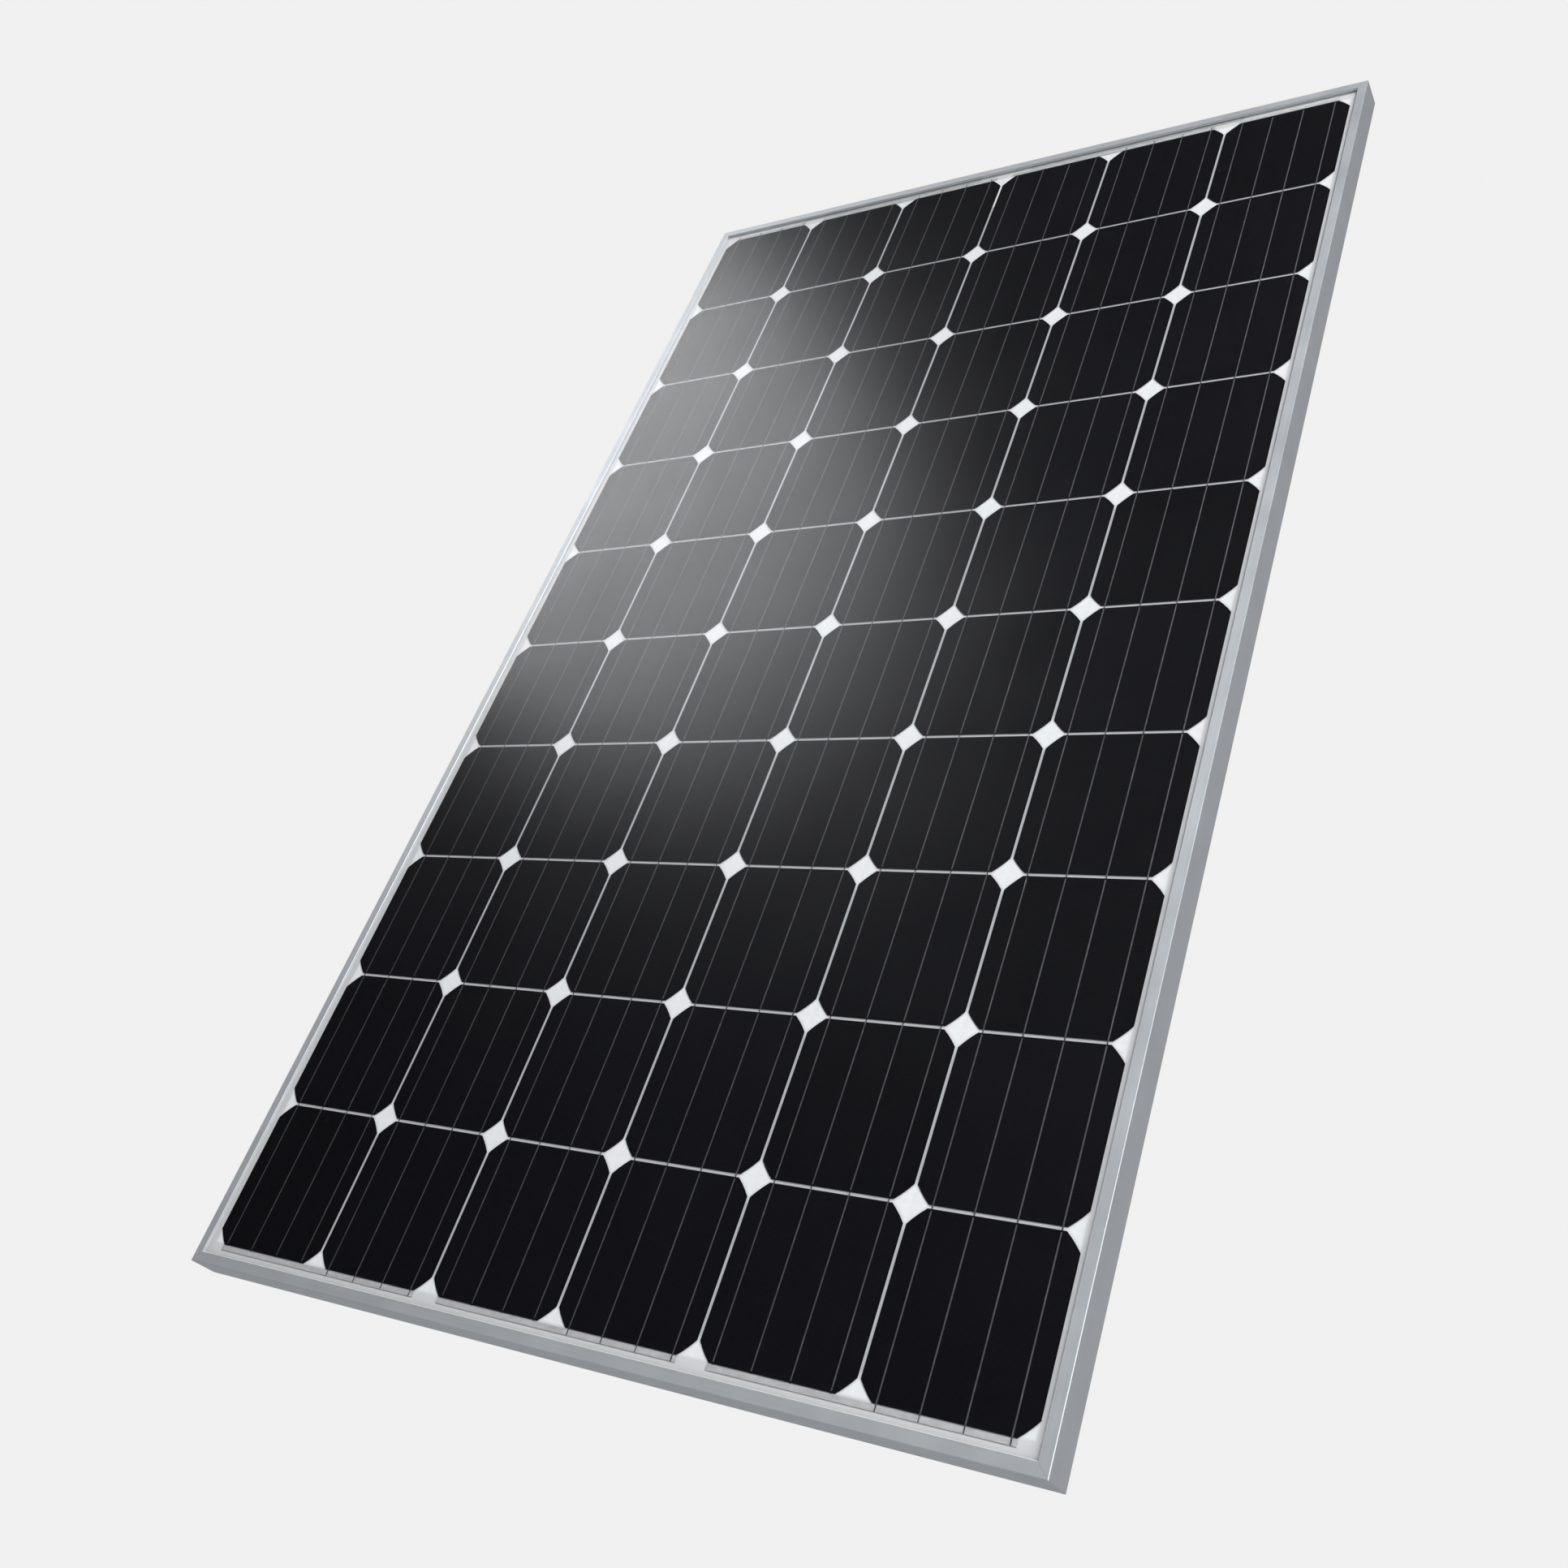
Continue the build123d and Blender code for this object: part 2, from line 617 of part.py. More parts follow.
with BuildPart() as junction_box_lid:
    lid_mid = (LID_HIGH + LID_LOW) / 2
    with BuildSketch(at_depth(LID_BACK)):
        with Locations((0, lid_mid)):
            RectangleRounded(2 * LID_HALF_W, LID_HIGH - LID_LOW, BOX_CORNER_R)
    extrude(amount=LID_T)
    chamfer(junction_box_lid.faces().sort_by(Axis.Y)[-1].edges(), length=0.8)
    # Skirt on three sides: the hinge side stays open so that the lid can swing.
    skirt_top = BOX_TOP - 8
    with BuildSketch(at_depth(LID_FRONT)):
        with Locations((0, lid_mid)):
            RectangleRounded(2 * LID_HALF_W, LID_HIGH - LID_LOW, BOX_CORNER_R)
        with Locations((0, BOX_Z + 10)):
            RectangleRounded(
                BOX_W + 2 * LID_SIDE_GAP,
                BOX_H + 2 * LID_SIDE_GAP + 20,
                BOX_CORNER_R,
                mode=Mode.SUBTRACT,
            )
        with Locations((0, skirt_top)):
            Rectangle(2 * BOX_W, BOX_H, align=(Align.CENTER, Align.MIN), mode=Mode.SUBTRACT)
    extrude(amount=LID_SKIRT_D)
    # Notches in the bottom skirt, round the gland stubs.
    for gland_x in GLAND_X:
        notch_depth = LID_FRONT - LID_SKIRT_D
        cut_sheet(notch_depth, LID_SKIRT_D - 0.8, NOTCH_W, 2 * LID_SKIRT_T + 2, gland_x, LID_LOW)
    # Hinge knuckles, bored for a running fit on the pins.
    for side in (-1, 1):
        with BuildSketch(hinge_plane(side * HINGE_X - KNUCKLE_W / 2)):
            hinge_side(LID_T, LID_FRONT - PANEL_D / 2 - HINGE_Y, LID_HIGH - HINGE_Z - 1)
            Circle(HINGE_PIN_R + HINGE_CLEARANCE, mode=Mode.SUBTRACT)
        extrude(amount=KNUCKLE_W)
    # Raised finger tab at the lower edge.
    sheet(LID_BACK, TAB_T, TAB_W, TAB_H, z=LID_LOW + TAB_H + 1)
    # Groove for the gasket, facing the box's rim.
    extrude(gasket_outline(), amount=GASKET_T, mode=Mode.SUBTRACT)
finish(junction_box_lid, "junction_box_lid")

with BuildPart() as lid_gasket:
    extrude(gasket_outline(), amount=GASKET_T)
finish(lid_gasket, "lid_gasket")

with BuildPart() as lid_hinge_pins:
    pin_length = KNUCKLE_W + 2 * LUG_GAP + 2 * LUG_T
    for side in (-1, 1):
        with BuildSketch(hinge_plane(side * HINGE_X - pin_length / 2)):
            Circle(HINGE_PIN_R)
        extrude(amount=pin_length)
finish(lid_hinge_pins, "lid_hinge_pins")

# --- terminal plates, ribbon clips and bypass diodes ----------------------------------------------
for number, terminal_x in enumerate(TERMINAL_X, start=1):
    outer = number in (1, 4)
    low = TERMINAL_LOW_OUTER if outer else TERMINAL_LOW_INNER
    with BuildPart() as terminal:
        half = TERMINAL_W / 2
        span(TERMINAL_DEPTH, TERMINAL_T, terminal_x - half, terminal_x + half, low, TERMINAL_TOP)
        with BuildSketch(at_depth(TERMINAL_DEPTH + TERMINAL_T)):
            with Locations((terminal_x, STUD_Z)):
                Circle(STUD_R + 0.1)
        extrude(amount=TERMINAL_T, mode=Mode.SUBTRACT)
        if outer:
            # Crimp barrel for the lead's conductor, in line with the gland.
            with BuildSketch(Plane.XY.offset(low)):
                with Locations((terminal_x, GLAND_Y)):
                    Circle(BARREL_R)
                with Locations((terminal_x, GLAND_Y - BARREL_R)):
                    Rectangle(BARREL_R, 1.5, align=(Align.CENTER, Align.MIN))
                with Locations((terminal_x, GLAND_Y)):
                    Circle(BARREL_BORE_R, mode=Mode.SUBTRACT)
            extrude(amount=BARREL_L)
    finish(terminal, f"terminal_{number}")

PLATE_BACK = TERMINAL_DEPTH + TERMINAL_T
with BuildPart() as ribbon_clips:
    for terminal_x in TERMINAL_X:
        sheet(PLATE_BACK, CLIP_T, CLIP_W, CLIP_H, terminal_x, CLIP_Z)
        cut_sheet(PLATE_BACK, RIBBON_T, BUS_W + 1, CLIP_H, terminal_x, CLIP_Z)
        cut_sheet(PLATE_BACK + CLIP_T - 0.6, 0.6, CLIP_W, 2, terminal_x, CLIP_Z)
finish(ribbon_clips, "ribbon_clips")

for number in (1, 2, 3):
    diode_x = (TERMINAL_X[number - 1] + TERMINAL_X[number]) / 2
    diode_y = y_at(PLATE_BACK) + DIODE_LEAD_R
    with BuildPart() as diode:
        with BuildSketch(Plane.YZ.offset(diode_x - DIODE_L / 2)):
            with Locations((diode_y, DIODE_Z)):
                Circle(DIODE_R)
        extrude(amount=DIODE_L)
        chamfer(diode.edges().filter_by(GeomType.CIRCLE), length=0.4)
        with BuildSketch(Plane.YZ.offset(diode_x - DIODE_LEAD_L / 2)):
            with Locations((diode_y, DIODE_Z)):
                Circle(DIODE_LEAD_R)
        extrude(amount=DIODE_LEAD_L)
    finish(diode, f"bypass_diode_{number}")

with BuildPart() as vent_plug:
    with BuildSketch(Plane.XY.offset(BOX_BOTTOM - VENT_HEAD_T)):
        with Locations((0, GLAND_Y)):
            Circle(VENT_HEAD_R)
    extrude(amount=VENT_HEAD_T)
    chamfer(vent_plug.faces().sort_by(Axis.Z)[0].edges(), length=0.5)
    with BuildSketch(Plane.XY.offset(BOX_BOTTOM)):
        with Locations((0, GLAND_Y)):
            Circle(VENT_R)
    extrude(amount=BOX_WALL)
finish(vent_plug, "vent_plug")


# --- cable glands: rubber seal, clamp ring and cap nut on each stub --------------------------------
def disc(low, high, radius, x, mode=Mode.ADD):
    """A cylinder on a gland's axis."""
    with BuildSketch(Plane.XY.offset(low)) as outline:
        with Locations((x, GLAND_Y)):
            Circle(radius)
    extrude(outline.sketch, amount=high - low, mode=mode)


for side, gland_x in zip(GLAND_SIDES, GLAND_X):
    with BuildPart() as gland_seal:
        disc(SEAL_LOW, STUB_LOW, SEAL_FLANGE_R, gland_x)
        disc(STUB_LOW, SEAL_TOP, SEAL_R, gland_x)
        disc(SEAL_LOW, SEAL_TOP, SEAL_BORE_R, gland_x, Mode.SUBTRACT)
    finish(gland_seal, f"gland_seal_{side}")

    with BuildPart() as clamp_ring:
        disc(RING_HIGH - RING_T, RING_HIGH, RING_R, gland_x)
        disc(RING_HIGH - RING_T, RING_HIGH, RING_BORE_R, gland_x, Mode.SUBTRACT)
    finish(clamp_ring, f"gland_clamp_ring_{side}")

    with BuildPart() as gland_nut:
        disc(NUT_SHOULDER - NUT_END_T, NUT_HIGH, NUT_R, gland_x)
        chamfer(gland_nut.edges().filter_by(GeomType.CIRCLE), length=0.9)
        disc(NUT_SHOULDER, NUT_HIGH, NUT_BORE_R, gland_x, Mode.SUBTRACT)
        disc(NUT_SHOULDER - NUT_END_T, NUT_SHOULDER, NUT_MOUTH_R, gland_x, Mode.SUBTRACT)
        with BuildSketch(Plane.XY.offset(NUT_SHOULDER + 0.5)):
            with Locations((gland_x, GLAND_Y)):
                with PolarLocations(NUT_R + 0.35, NUT_FLUTES):
                    Circle(NUT_FLUTE_R)
        extrude(amount=NUT_HIGH - NUT_SHOULDER - 2, mode=Mode.SUBTRACT)
    finish(gland_nut, f"gland_nut_{side}")
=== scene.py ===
import math
import random

import bmesh
import bpy
from mathutils import Euler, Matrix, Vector


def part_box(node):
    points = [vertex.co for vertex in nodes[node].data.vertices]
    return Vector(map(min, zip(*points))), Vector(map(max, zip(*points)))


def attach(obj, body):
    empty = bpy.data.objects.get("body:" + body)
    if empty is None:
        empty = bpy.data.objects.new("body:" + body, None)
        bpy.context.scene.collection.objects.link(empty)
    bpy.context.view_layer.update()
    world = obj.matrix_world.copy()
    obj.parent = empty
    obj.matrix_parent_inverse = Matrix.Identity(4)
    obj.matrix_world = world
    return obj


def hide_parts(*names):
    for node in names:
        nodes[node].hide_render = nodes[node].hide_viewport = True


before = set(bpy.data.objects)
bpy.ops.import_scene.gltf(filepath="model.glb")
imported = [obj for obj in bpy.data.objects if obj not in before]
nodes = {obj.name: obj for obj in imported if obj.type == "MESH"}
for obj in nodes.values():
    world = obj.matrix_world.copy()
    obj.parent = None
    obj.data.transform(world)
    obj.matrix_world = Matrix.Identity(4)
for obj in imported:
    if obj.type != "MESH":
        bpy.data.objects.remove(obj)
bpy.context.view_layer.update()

MM = 0.001

# ---------------------------------------------------------------- camera and picture

# The photo's camera: its place in metres, its turn in degrees, lens and sensor in millimetres.
CAMERA_PLACE = (1.0287, -1.1918, -1.0191)
CAMERA_TURN = (122.943, -18.198, 29.252)
CAMERA_LENS = 37.75
SENSOR = 36.0
CAMERA_SHIFT = (-0.0207, -0.0648)

BACKDROP = (0.875, 0.875, 0.875)

scene = bpy.context.scene
scene.view_settings.view_transform = "Standard"
scene.view_settings.look = "None"

camera_data = bpy.data.cameras.new("camera")
camera_data.lens = CAMERA_LENS
camera_data.sensor_width = SENSOR
camera_data.shift_x, camera_data.shift_y = CAMERA_SHIFT
camera_data.clip_start = 0.01
camera = bpy.data.objects.new("camera", camera_data)
camera.location = CAMERA_PLACE
camera.rotation_euler = Euler([math.radians(a) for a in CAMERA_TURN], "XYZ")
scene.collection.objects.link(camera)
scene.camera = camera


# ---------------------------------------------------------------- node helpers

NODE_SETTINGS = ("operation", "data_type", "noise_dimensions", "interpolation_type")


class Nodes:
    """An emptied node tree, with short ways to add and join nodes."""

    def __init__(self, tree):
        self.tree = tree
        self.tree.nodes.clear()

    def add(self, kind, **values):
        """A new node. A value named in NODE_SETTINGS is the node's own setting, any other is an input."""
        node = self.tree.nodes.new(kind)
        for key, value in values.items():
            if key in NODE_SETTINGS:
                setattr(node, key, value)
            else:
                self.put(node.inputs[key.replace("_", " ")], value)
        return node

    def put(self, socket, value):
        if isinstance(value, bpy.types.NodeSocket):
            self.tree.links.new(value, socket)
        elif isinstance(value, tuple) and len(value) == 3 and socket.type == "RGBA":
            socket.default_value = (*value, 1.0)
        else:
            socket.default_value = value

    def place(self):
        """The piece's own coordinates in metres."""
        return self.add("ShaderNodeTexCoord").outputs["Object"]

    def split(self, vector):
        node = self.add("ShaderNodeSeparateXYZ")
        self.put(node.inputs[0], vector)
        return node.outputs

    def join(self, x, y, z):
        node = self.add("ShaderNodeCombineXYZ")
        for socket, value in zip(node.inputs, (x, y, z)):
            self.put(socket, value)
        return node.outputs[0]

    def math(self, operation, a, b=0.0, c=0.0):
        node = self.add("ShaderNodeMath", operation=operation)
        for socket, value in zip(node.inputs, (a, b, c)):
            self.put(socket, value)
        return node.outputs[0]

    def mixture(self, a, b, share):
        """share of the value a, and the rest of the value b."""
        return self.math("ADD", self.math("MULTIPLY", a, share), self.math("MULTIPLY", b, 1.0 - share))

    def scaled(self, vector, factors):
        node = self.add("ShaderNodeVectorMath", operation="MULTIPLY")
        self.put(node.inputs[0], vector)
        node.inputs[1].default_value = factors
        return node.outputs[0]

    def noise(self, vector, scale, detail=2.0, roughness=0.5):
        node = self.add("ShaderNodeTexNoise", Scale=scale, Detail=detail, Roughness=roughness)
        self.put(node.inputs["Vector"], vector)
        return node.outputs["Fac"]

    def ramp(self, value, low, high, to_low=0.0, to_high=1.0, interpolation="LINEAR"):
        node = self.add("ShaderNodeMapRange", interpolation_type=interpolation)
        for key, x in (("Value", value), ("From Min", low), ("From Max", high),
                       ("To Min", to_low), ("To Max", to_high)):
            self.put(node.inputs[key], x)
        return node.outputs[0]

    def spread(self, noise, low, high):
        """From low to high over the range that noise mostly keeps to."""
        return self.ramp(noise, 0.3, 0.7, low, high)

    def blend(self, factor, a, b):
        """The colour a where factor is 0, and b where it is 1."""
        node = self.add("ShaderNodeMix", data_type="RGBA")
        self.put(node.inputs["Factor"], factor)
        self.put(node.inputs[6], a)
        self.put(node.inputs[7], b)
        return node.outputs[2]

    def bump(self, height, strength, distance, normal=None):
        node = self.add("ShaderNodeBump", Strength=strength, Distance=distance)
        self.put(node.inputs["Height"], height)
        if normal is not None:
            self.put(node.inputs["Normal"], normal)
        return node.outputs[0]

    def blend_shaders(self, factor, a, b):
        """The shader a where factor is 0, and b where it is 1."""
        node = self.add("ShaderNodeMixShader")
        for socket, value in zip(node.inputs, (factor, a, b)):
            self.put(socket, value)
        return node.outputs[0]

    def principled(self, **values):
        return self.add("ShaderNodeBsdfPrincipled", **values).outputs[0]


class Shader(Nodes):
    """A new material, which done() gives its surface."""

    def __init__(self, name):
        self.material = bpy.data.materials.new(name)
        self.material.use_nodes = True
        super().__init__(self.material.node_tree)
        self.output = self.add("ShaderNodeOutputMaterial")

    def done(self, shader):
        self.tree.links.new(shader, self.output.inputs["Surface"])
        return self.material


# ---------------------------------------------------------------- materials

CELL_PITCH = 159.0 * MM
CELL_GAP = 3.0 * MM
COLUMNS, ROWS = 6, 10
GRID_X = 0.5 * (COLUMNS * CELL_PITCH - CELL_GAP)
GRID_Z = 0.5 * (ROWS * CELL_PITCH - CELL_GAP)
RIBBON_PITCH = 39.0 * MM
FINGER_PITCH = 1.9 * MM
FINGER_SHARE = 0.05
# Inside the film's thickness: its shade belongs to the front and is gone behind these.
FILM_SHADE_ENDS = (-10.45 * MM, -10.40 * MM)
MARGIN_SHADE = 0.55
LABEL_BORDER = 4.0 * MM
LABEL_BORDER_HALF = 0.25 * MM
LABEL_RULES_INSET = 9.0 * MM
LABEL_RULE_PITCH = 15.0 * MM
LABEL_RULE_HALF = 0.12 * MM
INK = (0.10, 0.11, 0.12)
GLOSS_FACE_ON = 0.036
GLOSS_EDGE_ON = 0.92


def silicon():
    """Blue-black monocrystalline wafers with fine printed fingers, each wafer a little different."""
    s = Shader("silicon_wafers")
    place = s.place()
    x, _, z = s.split(place)
    column = s.math("FLOOR", s.math("DIVIDE", x, CELL_PITCH))
    row = s.math("FLOOR", s.math("DIVIDE", z, CELL_PITCH))
    tone = s.add("ShaderNodeTexWhiteNoise", noise_dimensions="2D")
    s.put(tone.inputs["Vector"], s.join(column, row, 0.0))
    cloud = s.noise(place, 9.0, 3.0)
    mixed = s.mixture(tone.outputs["Value"], cloud, 0.65)
    body = s.blend(mixed, (0.0006, 0.0006, 0.0016), (0.0018, 0.0018, 0.0036))
    phase = s.math("FRACT", s.math("DIVIDE", z, FINGER_PITCH))
    finger = s.math("LESS_THAN", phase, FINGER_SHARE)
    colour = s.blend(s.math("MULTIPLY", finger, 0.5), body, (0.042, 0.043, 0.050))
    rough = s.spread(s.noise(place, 900.0, 2.0), 0.42, 0.56)
    normal = s.bump(s.math("ADD", s.noise(place, 2500.0, 2.0), finger), 0.25, 0.00004)
    return s.done(s.principled(Base_Color=colour, Roughness=rough, Normal=normal,
                               Specular_IOR_Level=0.05))


def solder_coated(name, low, high, metal):
    """Tinned copper strip, with streaks along Z and dull patches of solder."""
    s = Shader(name)
    place = s.place()
    streak = s.noise(s.scaled(place, (900.0, 900.0, 60.0)), 1.0, 3.0)
    patch = s.noise(place, 160.0, 3.0)
    colour = s.blend(patch, low, high)
    rough = s.spread(s.mixture(streak, patch, 0.5), 0.34, 0.60)
    normal = s.bump(s.math("ADD", streak, patch), 0.4, 0.00008)
    return s.done(s.principled(Base_Color=colour, Metallic=metal, Roughness=rough, Normal=normal))


def white_film(name, tint, grain):
    """Matt white film with a faint woven grain and slow ripples."""
    s = Shader(name)
    place = s.place()
    fine = s.noise(place, grain, 3.0)
    slow = s.noise(place, 14.0, 3.0)
    colour = s.blend(s.mixture(fine, slow, 0.4), tuple(0.93 * t for t in tint), tint)
    rough = s.spread(fine, 0.45, 0.62)
    ripple = s.bump(slow, 0.25, 0.0009)
    normal = s.bump(fine, 0.2, 0.00008, ripple)
    return s.done(s.principled(Base_Color=colour, Roughness=rough, Normal=normal,
                               Specular_IOR_Level=0.35))


def backsheet_film():
    """White film with a slight relief over the ribbons and the gaps.

    Its front is darker in the gaps and in the margin, for the light that the cells and the rails take there.
    """
    s = Shader("backsheet_film")
    place = s.place()
    x, y, z = s.split(place)
    across = [s.math("PINGPONG", v, 0.5 * CELL_PITCH) for v in (x, z)]
    off_gap = s.math("MINIMUM", *across)
    along_gap = s.math("MAXIMUM", *across)
    narrow = s.ramp(s.math("ADD", off_gap, along_gap), 14.0 * MM, 24.0 * MM)
    inside_x = s.ramp(s.math("ABSOLUTE", x), GRID_X - 2.0 * MM, GRID_X, 1.0, 0.0)
    inside_z = s.ramp(s.math("ABSOLUTE", z), GRID_Z - 2.0 * MM, GRID_Z, 1.0, 0.0)
    inside = s.math("MULTIPLY", inside_x, inside_z)
    front = s.ramp(y, *FILM_SHADE_ENDS, 1.0, 0.0)
    margin = s.math("MULTIPLY_ADD", inside, -MARGIN_SHADE, MARGIN_SHADE)
    shade = s.math("MULTIPLY", s.math("MAXIMUM", s.math("MULTIPLY", narrow, inside), margin), front)
    fine = s.noise(place, 1500.0, 3.0)
    slow = s.noise(place, 14.0, 3.0)
    white = s.blend(s.mixture(fine, slow, 0.4), (0.74, 0.755, 0.78), (0.81, 0.82, 0.84))
    colour = s.blend(s.math("MULTIPLY", shade, 0.42), white, (0.10, 0.10, 0.11))
    rough = s.spread(fine, 0.45, 0.62)
    from_centre = s.math("SUBTRACT", 0.5 * CELL_PITCH, across[0])
    past_ribbon = s.math("SUBTRACT", s.math("MODULO", from_centre, RIBBON_PITCH), 0.5 * RIBBON_PITCH)
    to_ribbon = s.math("ABSOLUTE", past_ribbon)
    ribbon = s.ramp(to_ribbon, 0.4 * MM, 2.6 * MM, 1.0, 0.0)
    ribbon = s.math("MULTIPLY", ribbon, s.ramp(across[1], 0.5 * MM, 3.0 * MM, 0.4, 1.0))
    sunk = s.ramp(off_gap, 0.8 * MM, 4.0 * MM, 0.0, 1.0)
    drape = s.math("MULTIPLY", s.math("ADD", ribbon, sunk), inside)
    relief = s.bump(drape, 0.8, 0.00022, s.bump(slow, 0.25, 0.0009))
    normal = s.bump(fine, 0.2, 0.00008, relief)
    return s.done(s.principled(Base_Color=colour, Roughness=rough, Normal=normal,
                               Specular_IOR_Level=0.35))


def label_film(low, high):
    """Blank silver-grey label with a printed border and a few empty rules."""
    s = Shader("label_film")
    place = s.place()
    x, _, z = s.split(place)

    def from_edge(along, start, end):
        off_centre = s.math("ABSOLUTE", s.math("SUBTRACT", along, 0.5 * (end + start)))
        return s.math("SUBTRACT", 0.5 * (end - start), off_centre)

    inset = s.math("MINIMUM", from_edge(x, low.x, high.x), from_edge(z, low.z, high.z))
    border = s.math("COMPARE", inset, LABEL_BORDER, LABEL_BORDER_HALF)
    to_rule = s.math("PINGPONG", s.math("SUBTRACT", z, low.z), 0.5 * LABEL_RULE_PITCH)
    rule = s.math("COMPARE", to_rule, 0.0, LABEL_RULE_HALF)
    rule = s.math("MULTIPLY", rule, s.math("GREATER_THAN", inset, LABEL_RULES_INSET))
    fine = s.noise(place, 2600.0, 3.0)
    film = s.blend(fine, (0.64, 0.65, 0.665), (0.73, 0.74, 0.755))
    printed = s.math("MAXIMUM", border, s.math("MULTIPLY", rule, 0.5))
    colour = s.blend(printed, film, INK)
    rough = s.spread(fine, 0.30, 0.42)
    return s.done(s.principled(Base_Color=colour, Roughness=rough, Metallic=0.15,
                               Normal=s.bump(fine, 0.15, 0.00005)))


def anodised(name, along, colour_low, colour_high, rough_low, rough_high):
    """Satin anodised extrusion: fine die lines along the axis along, with faint cloudy handling marks."""
    s = Shader(name)
    place = s.place()
    stretch = [1800.0, 1800.0, 1800.0]
    stretch[along] = 9.0
    lines = s.noise(s.scaled(place, tuple(stretch)), 1.0, 3.0, 0.6)
    cloud = s.noise(place, 22.0, 4.0)
    speck = s.noise(place, 2600.0, 2.0)
    tone = s.mixture(lines, cloud, 0.55)
    colour = s.blend(s.ramp(tone, 0.32, 0.68), colour_low, colour_high)
    # Paler toward near-white along sharp convex edges, following the mesh's pointiness.
    convexity = s.add("ShaderNodeNewGeometry").outputs["Pointiness"]
    edge = s.ramp(convexity, 0.52, 0.60, 0.0, 0.35)
    colour = s.blend(edge, colour, (0.90, 0.91, 0.92))
    rough = s.spread(s.mixture(cloud, lines, 0.6), rough_low, rough_high)
    fine = s.bump(speck, 0.12, 0.00003)
    normal = s.bump(lines, 0.22, 0.00005, fine)
    return s.done(s.principled(Base_Color=colour, Metallic=0.6, Roughness=rough, Normal=normal))


def moulded(name, low, high, grain, rough_low, rough_high):
    """Spark-eroded moulded plastic or rubber with a fine leathery grain."""
    s = Shader(name)
    place = s.place()
    cloud = s.noise(place, 45.0, 3.0)
    pits = s.noise(place, grain, 3.0, 0.65)
    colour = s.blend(s.mixture(cloud, pits, 0.6), low, high)
    # Paler along sharp convex edges, following the mesh's pointiness.
    convexity = s.add("ShaderNodeNewGeometry").outputs["Pointiness"]
    edge = s.ramp(convexity, 0.53, 0.63, 0.0, 0.30)
    colour = s.blend(edge, colour, tuple(3.2 * h for h in high))
    rough = s.spread(pits, rough_low, rough_high)
    normal = s.bump(pits, 0.35, 0.00010)
    return s.done(s.principled(Base_Color=colour, Roughness=rough, Normal=normal,
                               Specular_IOR_Level=0.45))


def sealant():
    """Tooled silicone: grey-white and a little lumpy."""
    s = Shader("silicone_bead")
    place = s.place()
    lumps = s.noise(place, 120.0, 3.0)
    colour = s.blend(lumps, (0.60, 0.61, 0.60), (0.74, 0.75, 0.74))
    rough = s.spread(lumps, 0.32, 0.50)
    normal = s.bump(lumps, 0.4, 0.0004)
    return s.done(s.principled(Base_Color=colour, Roughness=rough, Normal=normal,
                               Specular_IOR_Level=0.5))


def clear_laminate():
    """Low-iron solar glass: a satin face that spreads what it reflects, with the slow waves of tempering."""
    s = Shader("textured_clear_glass")
    place = s.place()
    normal = s.bump(s.noise(place, 3.5, 1.0), 0.3, 0.0004)
    smear = s.noise(place, 7.0, 4.0)
    rough = s.spread(smear, 0.20, 0.23)
    gloss = s.add("ShaderNodeBsdfGlossy", Color=(0.97, 0.985, 1.0), Roughness=rough, Normal=normal)
    clear = s.add("ShaderNodeBsdfRefraction", Color=(0.985, 0.990, 0.990), IOR=1.5, Roughness=0.0)
    edge_on = s.add("ShaderNodeLayerWeight", Blend=0.5).outputs["Facing"]
    share = s.math("MULTIPLY_ADD", s.math("POWER", edge_on, 5.0), GLOSS_EDGE_ON, GLOSS_FACE_ON)
    return s.done(s.blend_shaders(share, clear.outputs[0], gloss.outputs[0]))


def bonded_face():
    """The glazing's rear face and edges, bonded to film and sealant, so that they reflect nothing."""
    s = Shader("bonded_clear")
    haze = s.noise(s.place(), 30.0, 2.0)
    tint = s.blend(haze, (0.985, 0.990, 0.988), (0.995, 0.997, 0.996))
    return s.done(s.add("ShaderNodeBsdfTransparent", Color=tint).outputs[0])


def sprung_steel():
    """Drawn spring steel, with fine lines along X."""
    s = Shader("spring_steel")
    place = s.place()
    lines = s.noise(s.scaled(place, (300.0, 2200.0, 2200.0)), 1.0, 3.0)
    colour = s.blend(lines, (0.42, 0.42, 0.43), (0.62, 0.62, 0.63))
    rough = s.spread(lines, 0.26, 0.42)
    return s.done(s.principled(Base_Color=colour, Metallic=1.0, Roughness=rough,
                               Normal=s.bump(lines, 0.3, 0.00005)))


SILICON = silicon()
TAB = solder_coated("tabbing_solder", (0.075, 0.075, 0.081), (0.145, 0.145, 0.155), 0.8)
RIBBON = solder_coated("bus_solder", (0.40, 0.405, 0.415), (0.58, 0.585, 0.60), 0.3)
BRASS = solder_coated("tinned_terminal", (0.25, 0.255, 0.265), (0.43, 0.44, 0.455), 1.0)
FILM = backsheet_film()
LABEL = label_film(*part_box("rating_label"))
STRIP = white_film("insulation_film", (0.80, 0.80, 0.80), 1200.0)
ALONG_X, ALONG_Y, ALONG_Z = 0, 1, 2
METAL = {
    axis: anodised(f"anodised_{axis}", axis, (0.385, 0.435, 0.490), (0.485, 0.535, 0.590), 0.40, 0.50)
    for axis in (ALONG_X, ALONG_Z)
}
KEY_METAL = anodised("mill_finish", ALONG_Y, (0.48, 0.48, 0.49), (0.62, 0.62, 0.63), 0.30, 0.45)
BOX_PLASTIC = moulded("box_plastic", (0.010, 0.010, 0.011), (0.022, 0.022, 0.023), 1400.0, 0.42, 0.62)
NUT_PLASTIC = moulded("nut_plastic", (0.012, 0.012, 0.013), (0.026, 0.026, 0.027), 1900.0, 0.36, 0.55)
RUBBER = moulded("soft_rubber", (0.014, 0.014, 0.014), (0.030, 0.030, 0.030), 1100.0, 0.62, 0.80)
